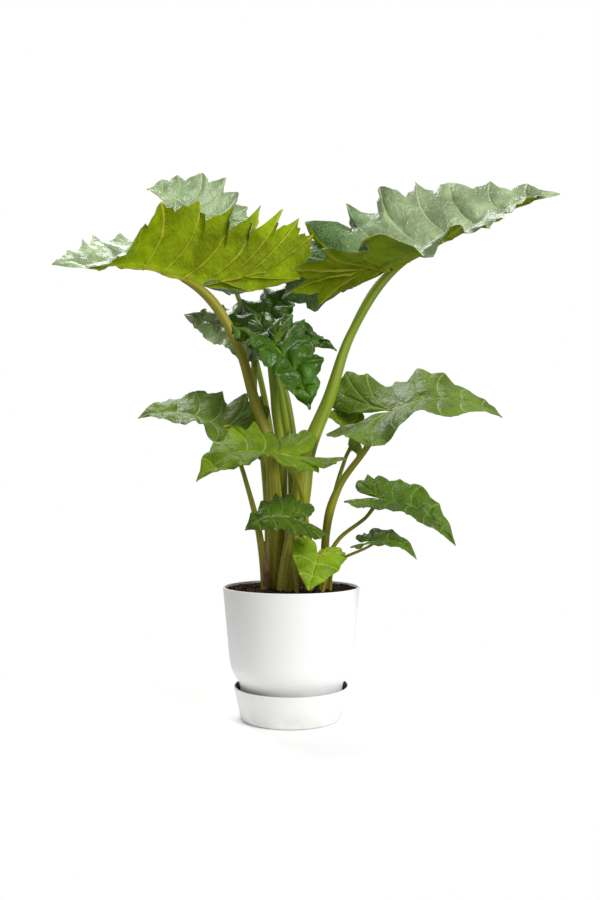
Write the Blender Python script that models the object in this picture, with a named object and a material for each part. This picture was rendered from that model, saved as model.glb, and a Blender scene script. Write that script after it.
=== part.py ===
"""Potted alocasia: fifteen toothed arrow leaves on long stalks, a rootstock and soil in a round planter.

Metres, +Z up. The origin is the centre of the saucer's underside, and the plant faces -Y.
"""
import math

import bmesh
import bpy
import numpy as np
from mathutils import Vector

# ------------------------------------------------------------------ sizes that can each be set by itself
CLEARANCE = 0.0003           # gap kept between pieces that touch

BRIM_RADIUS = 0.1475         # planter, outside, at its brim
WAIST_RADIUS = 0.1305        # planter, outside, at the foot of its tapered wall
NECK_RADIUS = 0.1115         # planter, outside, where it goes down into the saucer
FOOT_RADIUS = 0.098          # planter, outside, at the ring that it stands on
BRIM_HEIGHT = 0.278          # above the surface that the saucer stands on
WAIST_HEIGHT = 0.106
NECK_HEIGHT = 0.076
POT_WALL = 0.004
POT_FLOOR = 0.003
FOOT_RISE = 0.008            # hollow under the planter's floor, inside its foot ring
FOOT_RING = 0.008            # width of that ring
DRAIN_COUNT = 6
DRAIN_RADIUS = 0.006
DRAIN_CIRCLE = 0.055

SAUCER_BASE_RADIUS = 0.108
SAUCER_RIM_RADIUS = 0.1235
SAUCER_HEIGHT = 0.069
SAUCER_WALL = 0.003

SOIL_BELOW_BRIM = 0.010
SOIL_DOME = 0.003            # how much higher the soil is at its middle
SOIL_LEVEL_DRAWN = 0.268     # soil level that the heights of the leaves and stalks below are given for

ROOTSTOCK_CENTRE = (0.010, -0.008)
ROOTSTOCK_RADII = (0.096, 0.082, 0.040)
ROOTSTOCK_SHOWS = 0.006      # how much of it stands out of the soil
ROOTSTOCK_GAP = 0.0006       # kept between it and the soil
KNOB_SHARE = 0.05            # how far its knobs stand out, in its own radii
STALK_ROOT = 0.030           # how far a stalk goes down below its first point

SHEATH_GAP = 0.0012          # between a dry sheath and the stalk inside it
SHEATH_THICKNESS = 0.001
SHEATH_WRAP = math.radians(190)
SHEATH_FROM = 0.14           # shares of the stalk's length between which the sheath stands
SHEATH_TO = 0.42
SHEATH_TAPER = 0.85          # how much of its width it loses up to its point
SHEATH_COLUMNS = 6
SHEATH_ROWS = 8

ROUND_SEGMENTS = 36
DRAIN_SEGMENTS = 10
ROOTSTOCK_RINGS = 10
CORNER_STEPS = 2
SHARP_ANGLE = math.radians(40)
STALK_SIDES = 8
STALK_STEPS = 12
BLADE_ROWS = (0.0, 0.10, 0.50, 1.0)   # shares of the way from a rib to the margin
SHEET = 0.0014               # leaf thickness at the margin
RIB_TAPER = 1.6              # how fast the ribs thin out from the joint, from the stalk's radius there
RIB_TIP = 0.2                # share of that radius at their thinnest
SEAT_AHEAD = 1.3             # a stalk ends this far ahead of the joint, in its own radii
SEAT_BELOW = 0.5             # and this far under the sheet

# ------------------------------------------------------------------ outline that all blades share
# One half: x in blade lengths ahead of the joint and in lobe lengths behind it, y in half widths.
MARGIN = ((1.00, 0.00), (0.90, 0.15), (0.72, 0.40), (0.50, 0.66), (0.27, 0.86), (0.05, 0.98), (-0.30, 1.00),
          (-0.65, 0.92), (-0.93, 0.70), (-1.00, 0.44), (-0.76, 0.22), (-0.35, 0.08), (0.00, 0.00))
JOINT_CORNER = 6             # of the points above, the one that the vein from the joint runs to
LOBE_CORNER = 8              # the one that the lobe's own rib points at
LOBE_RIB_END = (-0.56, 0.44)
VEIN_SWEEP = 0.13            # how far veins bow forwards, in their own spans
VEIN_CROWDING = 1.15         # above 1, veins stand closer together towards the joint
TEETH = 0.12                 # depth of the bays between vein ends, in the vein's span
TEETH_SHAPE = 1.5
WAVE = 0.06                  # how far the margin waves up and down, in the vein's span
WAVES = 3                    # of these round one half

# ------------------------------------------------------------------ leaves
# midrib: from the joint with the stalk to the tip. face, tip_face: where the upper side looks at both.
# fold, curl, lobe_fold, tip_fold: degrees that the halves left and right of travel rise from flat, over
# all, more towards the margin, more towards the back of the lobe, and more towards the tip.
# lobe_drop: degrees that the lobes bend down. shoulder: extra width at their back, making them squarer.
# lobe_share: how much of the lobe's length each half has.
# veins: off the midrib, and on each side of a lobe's rib. passes: stalks that go through the blade.
LEAVES = {
    "left_high": dict(
        midrib=((-0.20, -0.03, 0.93), (-0.305, -0.06, 0.96), (-0.39, -0.13, 0.94), (-0.465, -0.21, 0.925)),
        length=0.34, half_width=0.175, lobe=0.22, face=(0.0, 0.15, 1.0), tip_face=(-0.3, -0.8, 0.5),
        fold=(60, 35), curl=(6, 10), lobe_fold=(10, 0), tip_fold=(-75, 0), lobe_drop=-8, shoulder=0.45,
        lobe_share=(1.0, 0.5), veins=(7, 3), colour=(0.20, 0.33, 0.12)),
    "right_high": dict(
        midrib=((0.22, -0.02, 0.97), (0.35, 0.00, 1.045), (0.485, 0.00, 1.11), (0.59, -0.02, 1.135)),
        length=0.42, half_width=0.22, lobe=0.17, face=(-0.1, -0.65, 0.78), tip_face=(-0.1, -0.7, 0.7),
        fold=(25, 30), curl=(0, 0), lobe_fold=(5, 46), lobe_drop=65, lobe_share=(1.0, 0.7), shoulder=0.2,
        veins=(7, 3), colour=(0.22, 0.34, 0.14)),
    "top_back": dict(
        midrib=((-0.21, 0.13, 1.13), (-0.265, 0.10, 1.165), (-0.335, 0.07, 1.18)),
        length=0.16, half_width=0.12, lobe=0.10, face=(0.3, -0.9, 0.35), tip_face=(0.2, -0.8, 0.6),
        fold=(12, 12), lobe_drop=20, veins=(5, 2), teeth=0.15, colour=(0.22, 0.34, 0.14)),
    "centre_front": dict(
        midrib=((-0.035, -0.072, 0.788), (0.005, -0.095, 0.735), (0.04, -0.10, 0.65)),
        length=0.17, half_width=0.10, lobe=0.07, face=(0.35, -0.8, 0.6), tip_face=(0.3, -1.0, 0.2),
        fold=(10, 20), lobe_drop=30, veins=(4, 2), columns=1, colour=(0.05, 0.14, 0.03)),
    "centre_right": dict(
        midrib=((-0.055, 0.0, 0.83), (0.02, -0.01, 0.82), (0.10, -0.01, 0.79)),
        length=0.155, half_width=0.065, lobe=0.045, face=(0.0, -0.6, 0.8), tip_face=(0.2, -0.6, 0.8),
        fold=(20, 0), lobe_drop=30, veins=(4, 2), columns=1, colour=(0.05, 0.14, 0.03)),
    "centre_back": dict(
        midrib=((-0.070, 0.09, 0.87), (-0.02, 0.115, 0.935), (0.045, 0.12, 0.975)),
        length=0.15, half_width=0.085, lobe=0.05, face=(-0.2, -0.8, 0.6), fold=(5, 5), lobe_drop=30,
        veins=(4, 2), columns=1, colour=(0.05, 0.14, 0.03)),
    "back_left": dict(
        midrib=((-0.115, 0.13, 0.86), (-0.18, 0.13, 0.875), (-0.255, 0.13, 0.90)),
        length=0.15, half_width=0.09, lobe=0.08, face=(0.1, -0.8, 0.5), fold=(5, 5), lobe_drop=40,
        veins=(4, 2), columns=1, colour=(0.12, 0.22, 0.08)),
    "left_mid": dict(
        midrib=((-0.15, -0.02, 0.62), (-0.235, -0.05, 0.65), (-0.32, -0.08, 0.635)),
        length=0.18, half_width=0.11, lobe=0.095, face=(0.0, -0.35, 1.0), fold=(0, 18), curl=(-15, 15),
        lobe_fold=(-10, 50), lobe_drop=-10, veins=(5, 2), colour=(0.11, 0.22, 0.06)),
    "front_mid": dict(
        midrib=((-0.03, -0.16, 0.555), (-0.105, -0.20, 0.555), (-0.18, -0.22, 0.50)),
        length=0.16, half_width=0.115, lobe=0.125, face=(0.05, -0.30, 0.95), fold=(5, 15), curl=(-10, 0),
        lobe_drop=-25, veins=(5, 2), colour=(0.17, 0.34, 0.03)),
    "right_mid": dict(
        midrib=((0.22, -0.02, 0.66), (0.295, -0.04, 0.68), (0.38, -0.05, 0.67), (0.45, -0.05, 0.64)),
        length=0.245, half_width=0.14, lobe=0.15, face=(0.0, -0.55, 1.0), fold=(8, 8), curl=(0, -10),
        lobe_fold=(22, 0), lobe_drop=-20, veins=(6, 2), colour=(0.13, 0.24, 0.07)),
    "right_inner": dict(
        midrib=((0.145, 0.06, 0.615), (0.115, 0.045, 0.645), (0.075, 0.03, 0.65)),
        length=0.08, half_width=0.055, lobe=0.05, face=(0.3, -0.8, 0.6), fold=(10, 10), lobe_drop=20,
        veins=(3, 2), columns=1, colour=(0.10, 0.24, 0.04)),
    "front_low": dict(
        midrib=((0.00, -0.145, 0.43), (-0.045, -0.165, 0.43), (-0.09, -0.17, 0.405)),
        length=0.10, half_width=0.07, lobe=0.07, face=(0.1, -0.55, 0.8), fold=(0, 8), lobe_drop=10,
        veins=(4, 2), columns=1, colour=(0.06, 0.17, 0.03)),
    "front_lowest": dict(
        midrib=((0.055, -0.115, 0.35), (0.045, -0.14, 0.32), (0.035, -0.150, 0.285)),
        length=0.07, half_width=0.052, lobe=0.035, face=(0.1, -1.0, 0.3), fold=(5, 5), lobe_drop=5,
        veins=(3, 2), columns=1, colour=(0.26, 0.46, 0.05)),
    "right_low": dict(
        midrib=((0.19, -0.06, 0.465), (0.265, -0.08, 0.445), (0.34, -0.09, 0.37)),
        length=0.17, half_width=0.075, lobe=0.07, face=(-0.1, -0.6, 0.8), fold=(5, 22), lobe_drop=10,
        veins=(5, 2), columns=1, colour=(0.08, 0.20, 0.04)),
    "right_lowest": dict(
        midrib=((0.175, -0.10, 0.38), (0.21, -0.11, 0.38), (0.255, -0.12, 0.345)),
        length=0.09, half_width=0.05, lobe=0.05, face=(0.1, -0.35, 1.0), fold=(10, 10), lobe_drop=10,
        veins=(3, 2), columns=1, colour=(0.10, 0.22, 0.04)),
}

# Each stalk: points x, y, z with the radius there, from the soil up, and its radius where it meets its blade.
STALKS = {
    "left_high": ((-0.038, -0.002, 0.265, 0.020), (-0.032, -0.002, 0.40, 0.020),
                  (-0.038, -0.012, 0.485, 0.0165), (-0.045, -0.020, 0.565, 0.0135),
                  (-0.080, -0.030, 0.68, 0.012), (-0.115, -0.035, 0.795, 0.0105), 0.009),
    "right_high": ((-0.012, -0.048, 0.265, 0.020), (0.010, -0.032, 0.40, 0.021),
                   (0.022, -0.022, 0.48, 0.021), (0.035, -0.015, 0.565, 0.018),
                   (0.080, -0.010, 0.68, 0.0145), (0.130, -0.010, 0.825, 0.0105), 0.0085),
    "centre_front": ((-0.025, 0.037, 0.265, 0.012), (-0.020, 0.030, 0.465, 0.012),
                     (-0.022, 0.015, 0.565, 0.011), (-0.036, -0.012, 0.68, 0.0095), 0.0055),
    "centre_right": ((-0.003, 0.055, 0.265, 0.010), (0.002, 0.050, 0.465, 0.010),
                     (-0.004, 0.045, 0.57, 0.009), (-0.025, 0.025, 0.70, 0.0085), 0.006),
    "centre_back": ((0.018, 0.060, 0.265, 0.009), (0.015, 0.078, 0.465, 0.009),
                    (-0.012, 0.088, 0.70, 0.0075), 0.006),
    "back_left": ((-0.050, 0.050, 0.265, 0.009), (-0.060, 0.070, 0.51, 0.008),
                  (-0.085, 0.100, 0.695, 0.007), 0.0055),
    "top_back": ((-0.020, 0.080, 0.265, 0.009), (-0.035, 0.110, 0.51, 0.0085),
                 (-0.085, 0.185, 0.79, 0.007), (-0.140, 0.235, 0.98, 0.006), 0.005),
    "left_mid": ((-0.055, -0.035, 0.265, 0.0095), (-0.070, -0.030, 0.40, 0.0075),
                 (-0.092, -0.025, 0.485, 0.0055), (-0.118, -0.020, 0.56, 0.005), 0.0045),
    "front_mid": ((0.040, -0.055, 0.265, 0.0065), (0.034, -0.062, 0.40, 0.006),
                  (0.020, -0.078, 0.485, 0.0055), 0.0045),
    "right_mid": ((0.075, -0.005, 0.265, 0.011), (0.075, -0.005, 0.39, 0.009),
                  (0.085, -0.005, 0.445, 0.010), (0.105, -0.010, 0.495, 0.008),
                  (0.155, -0.015, 0.565, 0.007), 0.006),
    "right_inner": ((0.065, 0.030, 0.265, 0.007), (0.080, 0.040, 0.395, 0.006),
                    (0.105, 0.050, 0.51, 0.005), (0.120, 0.055, 0.555, 0.0045), 0.004),
    "front_low": ((0.012, -0.084, 0.265, 0.0045), (0.004, -0.103, 0.37, 0.004),
                  (0.002, -0.130, 0.415, 0.0035), 0.003),
    "front_lowest": ((0.065, -0.070, 0.265, 0.0045), (0.075, -0.075, 0.335, 0.004),
                     (0.065, -0.090, 0.36, 0.0035), 0.003),
    "right_low": ((0.060, -0.035, 0.265, 0.005), (0.100, -0.045, 0.38, 0.0045),
                  (0.155, -0.055, 0.425, 0.004), 0.0035),
    "right_lowest": ((0.082, -0.048, 0.265, 0.004), (0.090, -0.060, 0.325, 0.0035),
                     (0.155, -0.085, 0.365, 0.003), 0.0027),
}


# ------------------------------------------------------------------ form
def soil_level():
    """Height of the soil where it meets the planter's wall."""
    return BRIM_HEIGHT - SOIL_BELOW_BRIM


def grown(points):
    """Points of the plant, which stands on the soil and so rises and sinks with its level."""
    return [(x, y, z + soil_level() - SOIL_LEVEL_DRAWN, *radius) for x, y, z, *radius in points]


def unit(vectors):
    """The vectors scaled to length one."""
    return vectors / np.maximum(np.linalg.norm(vectors, axis=-1, keepdims=True), 1e-9)


def knots_of(points):
    """Share of the whole way at which each point lies."""
    spans = np.linalg.norm(np.diff(points[:, :3], axis=0), axis=1)
    return np.concatenate(([0.0], np.cumsum(spans))) / spans.sum()


def along(points, share):
    """Place and direction at shares (0..1) of a smooth curve through the points."""
    points = np.asarray(points, float)
    share = np.asarray(share, float)
    knots = knots_of(points)
    steps = np.diff(knots)[:, None]
    slopes = np.diff(points, axis=0) / steps
    middle = (slopes[:-1] * steps[1:] + slopes[1:] * steps[:-1]) / (steps[:-1] + steps[1:])
    tangents = np.vstack((1.5 * slopes[:1] - 0.5 * middle[:1], middle, 1.5 * slopes[-1:] - 0.5 * middle[-1:]))
    part = np.clip(np.searchsorted(knots, share, side="right") - 1, 0, len(points) - 2)
    step = steps[part]
    t = (share[:, None] - knots[part][:, None]) / step
    start, end = points[part], points[part + 1]
    leave, arrive = tangents[part] * step, tangents[part + 1] * step
    place = ((2 * t**3 - 3 * t**2 + 1) * start + (t**3 - 2 * t**2 + t) * leave
             + (3 * t**2 - 2 * t**3) * end + (t**3 - t**2) * arrive)
    direction = (6 * (t**2 - t) * (start - end) + (3 * t**2 - 4 * t + 1) * leave
                 + (3 * t**2 - 2 * t) * arrive) / step
    return place, direction


def vein_count(leaf):
    """How many veins' widths the margin of one half has, and where the joint and the lobe's rib end fall."""
    ahead, beside = leaf["veins"]
    return ahead + 2 * beside, (0, ahead, ahead + beside, ahead + 2 * beside)


def flat_half(leaf, lobe, vein, reach):
    """Flat (x, y) of one half: vein counts from the tip round to the notch, reach goes from rib to margin."""
    length, width = leaf["length"], leaf["half_width"]
    total, breaks = vein_count(leaf)
    shoulder = leaf.get("shoulder", 0.0)
    outline = np.array([(x * (length if x > 0 else lobe), y * width * (1 - shoulder * min(x, 0)), 0.0)
                        for x, y in MARGIN])
    knots = knots_of(outline)
    share = np.interp(vein, breaks, (0.0, knots[JOINT_CORNER], knots[LOBE_CORNER], 1.0))
    edge = along(outline, share)[0][:, :2]
    ahead = np.interp(vein, breaks, (1.0, 0.0, 0.0, 0.0)) ** VEIN_CROWDING
    back = np.interp(vein, breaks, (0.0, 0.0, 1.0, 0.0))
    foot = np.stack((length * ahead + LOBE_RIB_END[0] * lobe * back,
                     LOBE_RIB_END[1] * width * back), axis=1)
    between = 1 - np.abs(2 * (vein % 1.0) - 1.0) ** TEETH_SHAPE
    near_ends = np.clip(vein, 0, 1) * np.clip(total - vein, 0, 1)
    span = (edge - foot) * (1 - leaf.get("teeth", TEETH) * between * near_ends)[:, None]
    flat = foot + span * reach[:, None]
    flat[:, 0] -= VEIN_SWEEP * 4 * reach * (1 - reach) * np.clip(1 - back, 0, 1) * np.abs(span[:, 1])
    return flat, np.linalg.norm(span, axis=1)


def midrib_frame(leaf, x):
    """Place, forward and upward directions at x along the midrib, and behind the joint where x < 0."""
    share = np.clip(x / leaf["length"], 0, 1)
    midrib = grown(leaf["midrib"])
    place, forward = along(midrib, share)
    forward = unit(forward)
    place = place + forward * np.maximum(x - leaf["length"], 0)[:, None]
    start = along(midrib, np.zeros(1))[1][0]
    start = unit(start)
    face = np.asarray(leaf["face"], float)
    rise = unit(face - (face @ start) * start)
    behind = np.maximum(-x, 0)[:, None]
    bend = math.radians(leaf["lobe_drop"]) / leaf["lobe"]
    turn = bend * behind
    place = place - start * np.sin(turn) / bend - rise * (1 - np.cos(turn)) / bend
    forward = np.where(behind > 0, start * np.cos(turn) + rise * np.sin(turn), forward)
    ease = (share * share * (3 - 2 * share))[:, None]
    look = face * (1 - ease) + np.asarray(leaf.get("tip_face", leaf["face"]), float) * ease
    upward = unit(look - (look * forward).sum(axis=1, keepdims=True) * forward)
    return place, forward, upward


def blade_point(leaf, side, vein, reach):
    """Points of the blade's upper side; side is +1 for the half left of travel and -1 for the right."""
    half = 0 if side > 0 else 1
    flat, span = flat_half(leaf, leaf["lobe"] * leaf.get("lobe_share", (1, 1))[half], vein, reach)
    x, y = flat.T
    fold, curl, lobe_fold, tip_fold = (math.radians(leaf.get(key, (0, 0))[half])
                                       for key in ("fold", "curl", "lobe_fold", "tip_fold"))
    place, forward, upward = midrib_frame(leaf, x)
    outward = np.cross(upward, forward) * side
    back = np.clip(-x / leaf["lobe"], 0, 1)
    ahead = np.clip(x / leaf["length"], 0, 1)
    angle = fold + lobe_fold * back * (2 - back) + tip_fold * ahead**2 + curl * 0.5 * y / leaf["half_width"]
    share = vein / vein_count(leaf)[0]
    offset = 1.3 if side > 0 else 0.0
    wave = leaf.get("wave", WAVE) * span * reach**2 * np.sin(math.tau * WAVES * share + offset)
    across = y * np.cos(angle) - wave * np.sin(angle)
    up = y * np.sin(angle) + wave * np.cos(angle)
    return place + outward * across[:, None] + upward * up[:, None]


def stalk_route(name):
    """Points of a stalk, from its root in the soil to its seat in the rib under its blade's joint."""
    *points, end_radius = STALKS[name]
    points = grown(points)
    x, y, z, radius = points[0]
    place, forward, upward = (rows[0] for rows in midrib_frame(LEAVES[name], np.zeros(1)))
    seat = place + forward * SEAT_AHEAD * end_radius - upward * (SHEET + SEAT_BELOW * end_radius)
    return [(x, y, z - STALK_ROOT, radius), *points, (*seat, end_radius)]


def stalk_point(route, turn, share, grow):
    """Points on a stalk: share of its length from the foot, turn round it from 0 to 1."""
    place, forward = along(route, share)
    forward = unit(forward[:, :3])
    side = unit(np.cross(forward, (0.3, 1.0, 0.05)))
    other = np.cross(forward, side)
    angle = math.tau * turn
    ring = side * np.cos(angle)[:, None] + other * np.sin(angle)[:, None]
    ends = np.where(share <= 0, -grow, np.where(share >= 1, grow, 0.0))
    return place[:, :3] + ring * (place[:, 3:] + grow) + forward * ends[:, None]


# ------------------------------------------------------------------ mesh tools
def material(name, colour, roughness):
    """A Principled material with this base colour and roughness."""
    made = bpy.data.materials.new(name)
    made.use_nodes = True
    shader = made.node_tree.nodes["Principled BSDF"]
    shader.inputs["Base Color"].default_value = (*colour, 1.0)
    shader.inputs["Roughness"].default_value = roughness
    return made


def add_object(name, mesh, look):
    """Turn a bmesh into a named, smooth-shaded object with its one material."""
    bmesh.ops.recalc_face_normals(mesh, faces=mesh.faces)
    data = bpy.data.meshes.new(name)
    mesh.to_mesh(data)
    mesh.free()
    data.shade_smooth()
    data.set_sharp_from_angle(angle=SHARP_ANGLE)
    if look:
        data.materials.append(look)
    made = bpy.data.objects.new(name, data)
    bpy.context.collection.objects.link(made)
    return made


def grid(mesh, columns, rows, place):
    """Add a grid whose corners (0..columns, 0..rows) are moved by place(column, row)."""
    corners = bmesh.ops.create_grid(mesh, x_segments=columns, y_segments=rows, size=0.5)["verts"]
    flat = (np.array([corner.co[:2] for corner in corners]) + 0.5) * (columns, rows)
    for corner, point in zip(corners, place(flat[:, 0], np.rint(flat[:, 1]).astype(int))):
        corner.co = point
    return corners


def hide_cutter(cutter):
    """Keep a cutting shape out of the built model."""
    cutter.hide_render = True
    cutter.display_type = "WIRE"
    return cutter


def cut(piece, cutters):
    """Take the volume of all the cutters out of the piece."""
    group = bpy.data.collections.new("cutters_of_" + piece.name)
    for cutter in cutters:
        group.objects.link(cutter)
    modifier = piece.modifiers.new("cut", "BOOLEAN")
    modifier.operation = "DIFFERENCE"
    modifier.solver = "EXACT"
    modifier.operand_type = "COLLECTION"
    modifier.collection = group


def turned(name, corners, look):
    """Spin a profile of (radius, height, rounding) corners, from the axis out and back, into a solid."""
    profile = [corners[0][:2]]
    for before, (r, z, rounding), after in zip(corners, corners[1:], corners[2:]):
        corner = Vector((r, z))
        arms = [(Vector(end[:2]) - corner) for end in (before, after)]
        reach = [min(rounding, arm.length * 0.49) for arm in arms]
        first, last = (corner + arm.normalized() * size for arm, size in zip(arms, reach))
        steps = CORNER_STEPS if rounding else 0
        for step in range(steps + 1):
            t = step / steps if steps else 0.5
            point = first * (1 - t) ** 2 + corner * 2 * t * (1 - t) + last * t**2
            profile.append(tuple(point if steps else corner))
    profile.append(corners[-1][:2])
    mesh = bmesh.new()
    line = [mesh.verts.new((r, 0.0, z)) for r, z in profile]
    edges = [mesh.edges.new(pair) for pair in zip(line, line[1:])]
    bmesh.ops.spin(mesh, geom=line + edges, cent=(0, 0, 0), axis=(0, 0, 1), angle=math.tau,
                   steps=ROUND_SEGMENTS, use_merge=True)
    bmesh.ops.remove_doubles(mesh, verts=mesh.verts, dist=0.00001)
    return add_object(name, mesh, look)


# ------------------------------------------------------------------ planter, saucer and soil
def pot_inside():
    """Corners of the planter's inner wall from the brim down to its floor."""
    floor = SAUCER_WALL + CLEARANCE + FOOT_RISE + POT_FLOOR
    return [(BRIM_RADIUS - POT_WALL, BRIM_HEIGHT, 0.0015),
            (WAIST_RADIUS - POT_WALL, WAIST_HEIGHT, 0.010),
            (NECK_RADIUS - POT_WALL, NECK_HEIGHT, 0.010),
            (FOOT_RADIUS - POT_WALL, floor, 0.004)]


def make_pot(look):
    """The planter: tapered wall, drawn in to a neck that stands in the saucer on a foot ring."""
    foot = SAUCER_WALL + CLEARANCE
    pot = turned("pot", [
        (0.0, foot + FOOT_RISE, 0), (FOOT_RADIUS - FOOT_RING, foot + FOOT_RISE, 0),
        (FOOT_RADIUS - FOOT_RING, foot, 0), (FOOT_RADIUS, foot, 0.002),
        (NECK_RADIUS, NECK_HEIGHT, 0.004), (WAIST_RADIUS, WAIST_HEIGHT, 0.014),
        (BRIM_RADIUS, BRIM_HEIGHT, 0.0015), *pot_inside(), (0.0, pot_inside()[-1][1], 0)], look)
    drills = []
    drill_length = 4 * (POT_FLOOR + FOOT_RISE)
    for index in range(DRAIN_COUNT):
        mesh = bmesh.new()
        bmesh.ops.create_cone(mesh, cap_ends=True, segments=DRAIN_SEGMENTS, radius1=DRAIN_RADIUS,
                              radius2=DRAIN_RADIUS, depth=drill_length)
        angle = math.tau * (index + 0.25) / DRAIN_COUNT
        centre = (DRAIN_CIRCLE * math.cos(angle), DRAIN_CIRCLE * math.sin(angle), foot + FOOT_RISE)
        bmesh.ops.translate(mesh, verts=mesh.verts, vec=centre)
        drills.append(hide_cutter(add_object(f"drain_cutter_{index + 1}", mesh, None)))
    cut(pot, drills)
    return pot


def make_saucer(look):
    """The deep saucer that the planter's neck stands in."""
    inner_base = SAUCER_BASE_RADIUS - SAUCER_WALL
    return turned("saucer", [
        (0.0, 0.0, 0), (SAUCER_BASE_RADIUS, 0.0, 0.006), (SAUCER_RIM_RADIUS, SAUCER_HEIGHT, 0.001),
        (SAUCER_RIM_RADIUS - SAUCER_WALL, SAUCER_HEIGHT, 0.001), (inner_base, SAUCER_WALL, 0.004),
        (0.0, SAUCER_WALL, 0)], look)


def make_soil(look):
    """Soil that fills the planter to just below its brim, a clearance inside its wall."""
    brim, waist, neck, floor = pot_inside()
    slope = (brim[0] - waist[0]) / (brim[1] - waist[1])
    top_radius = brim[0] - slope * SOIL_BELOW_BRIM
    base = floor[1] + CLEARANCE
    return turned("soil", [
        (0.0, base, 0), (floor[0] - 2 * CLEARANCE, base, 0.004), (neck[0] - 2 * CLEARANCE, neck[1], 0.010),
        (waist[0] - 2 * CLEARANCE, waist[1], 0.010), (top_radius - CLEARANCE, soil_level(), 0),
        (top_radius * 0.5, soil_level() + SOIL_DOME, 0), (0.0, soil_level() + SOIL_DOME, 0)], look)


def make_rootstock(name, grow, look):
    """The knobbly rootstock, or its cutter, just showing above the soil."""
    mesh = bmesh.new()
    bmesh.ops.create_uvsphere(mesh, u_segments=2 * ROOTSTOCK_RINGS, v_segments=ROOTSTOCK_RINGS, radius=1.0)
    height = soil_level() + SOIL_DOME + ROOTSTOCK_SHOWS - ROOTSTOCK_RADII[2]
    for vert in mesh.verts:
        x, y, z = vert.co
        knob = 1 + KNOB_SHARE * math.sin(5 * x + 3 * y) * math.cos(4 * y)
        vert.co = Vector((ROOTSTOCK_CENTRE[0] + x * knob * (ROOTSTOCK_RADII[0] + grow),
                          ROOTSTOCK_CENTRE[1] + y * knob * (ROOTSTOCK_RADII[1] + grow),
                          height + z * (ROOTSTOCK_RADII[2] + grow)))
    return add_object(name, mesh, look)


# ------------------------------------------------------------------ stalks, blades and dry sheath
def make_stalk(name, route, grow, look):
    """A leaf stalk, or a cutter that is larger than it by grow all round."""
    mesh = bmesh.new()

    def place(column, row):
        return stalk_point(route, 1 - row / STALK_SIDES, column / STALK_STEPS, grow)

    grid(mesh, STALK_STEPS, STALK_SIDES, place)
    bmesh.ops.remove_doubles(mesh, verts=mesh.verts, dist=0.00001)
    bmesh.ops.holes_fill(mesh, edges=[edge for edge in mesh.edges if edge.is_boundary], sides=0)
    return add_object(name, mesh, look)


def make_blade(name, leaf, rib, look):
    """A leaf blade: both halves on one midrib, a thin sheet that thickens to a rib along its veins' feet."""
    mesh = bmesh.new()
    columns_a_vein = leaf.get("columns", 2)
    total = vein_count(leaf)[0]
    columns = total * columns_a_vein
    depth = mesh.verts.layers.float.new("depth")
    for side in (1, -1):
        def place(column, row):
            return blade_point(leaf, side, column / columns_a_vein, np.array(BLADE_ROWS)[row])

        faces_before = len(mesh.faces)
        flat_rows = len(BLADE_ROWS) - 1
        corners = grid(mesh, columns, flat_rows, place)
        for index, corner in enumerate(corners):
            row, column = divmod(index, columns + 1)
            from_joint = abs(column / columns_a_vein - leaf["veins"][0]) / total
            thicker = rib * max(RIB_TIP, 1 - RIB_TAPER * from_joint) if row == 0 else 0
            corner[depth] = SHEET + thicker
        if side > 0:
            mesh.faces.ensure_lookup_table()
            bmesh.ops.reverse_faces(mesh, faces=mesh.faces[faces_before:])
    bmesh.ops.remove_doubles(mesh, verts=mesh.verts, dist=0.00001)
    mesh.normal_update()
    upward = {vert.co.copy().freeze(): vert.normal.copy() for vert in mesh.verts}
    made = bmesh.ops.extrude_face_region(mesh, geom=mesh.faces[:], use_keep_orig=True)["geom"]
    for vert in made:
        if isinstance(vert, bmesh.types.BMVert):
            vert.co -= upward[vert.co.copy().freeze()] * vert[depth]
    return add_object(name, mesh, look)


def make_dry_sheath(route, look):
    """The papery sheath that stands half round the left stalk's foot, drawn out to a point."""
    mesh = bmesh.new()

    def place(column, row):
        height = row / SHEATH_ROWS
        narrowing = 1 - SHEATH_TAPER * height**1.5
        turn = 0.5 + (column / SHEATH_COLUMNS - 0.5) * narrowing * SHEATH_WRAP / math.tau
        return stalk_point(route, turn, SHEATH_FROM + (SHEATH_TO - SHEATH_FROM) * height, SHEATH_GAP)

    grid(mesh, SHEATH_COLUMNS, SHEATH_ROWS, place)
    bmesh.ops.recalc_face_normals(mesh, faces=mesh.faces)
    bmesh.ops.solidify(mesh, geom=mesh.faces[:], thickness=-SHEATH_THICKNESS)
    return add_object("dry_sheath", mesh, look)


# ------------------------------------------------------------------ assembly
for old in list(bpy.data.objects):
    bpy.data.objects.remove(old)

pot_white = material("pot_white", (0.86, 0.86, 0.85), 0.55)
saucer_white = material("saucer_white", (0.84, 0.84, 0.83), 0.55)
dark_soil = material("dark_soil", (0.035, 0.018, 0.014), 0.95)
root_brown = material("root_brown", (0.16, 0.10, 0.045), 0.85)
dry_brown = material("dry_brown", (0.28, 0.15, 0.06), 0.8)

make_pot(pot_white)
make_saucer(saucer_white)
soil = make_soil(dark_soil)
rootstock = make_rootstock("rootstock", 0.0, root_brown)

rootstock_cutter = hide_cutter(make_rootstock("rootstock_cutter", ROOTSTOCK_GAP, None))
stalk_cutters = {}
for leaf_name in STALKS:
    route = stalk_route(leaf_name)
    make_stalk("stalk_" + leaf_name, route, 0.0, material("stalk_" + leaf_name, (0.20, 0.22, 0.035), 0.45))
    stalk_cutters[leaf_name] = hide_cutter(make_stalk("stalk_cutter_" + leaf_name, route, CLEARANCE, None))
cut(rootstock, stalk_cutters.values())
cut(soil, [rootstock_cutter])
cut(soil, stalk_cutters.values())

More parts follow.
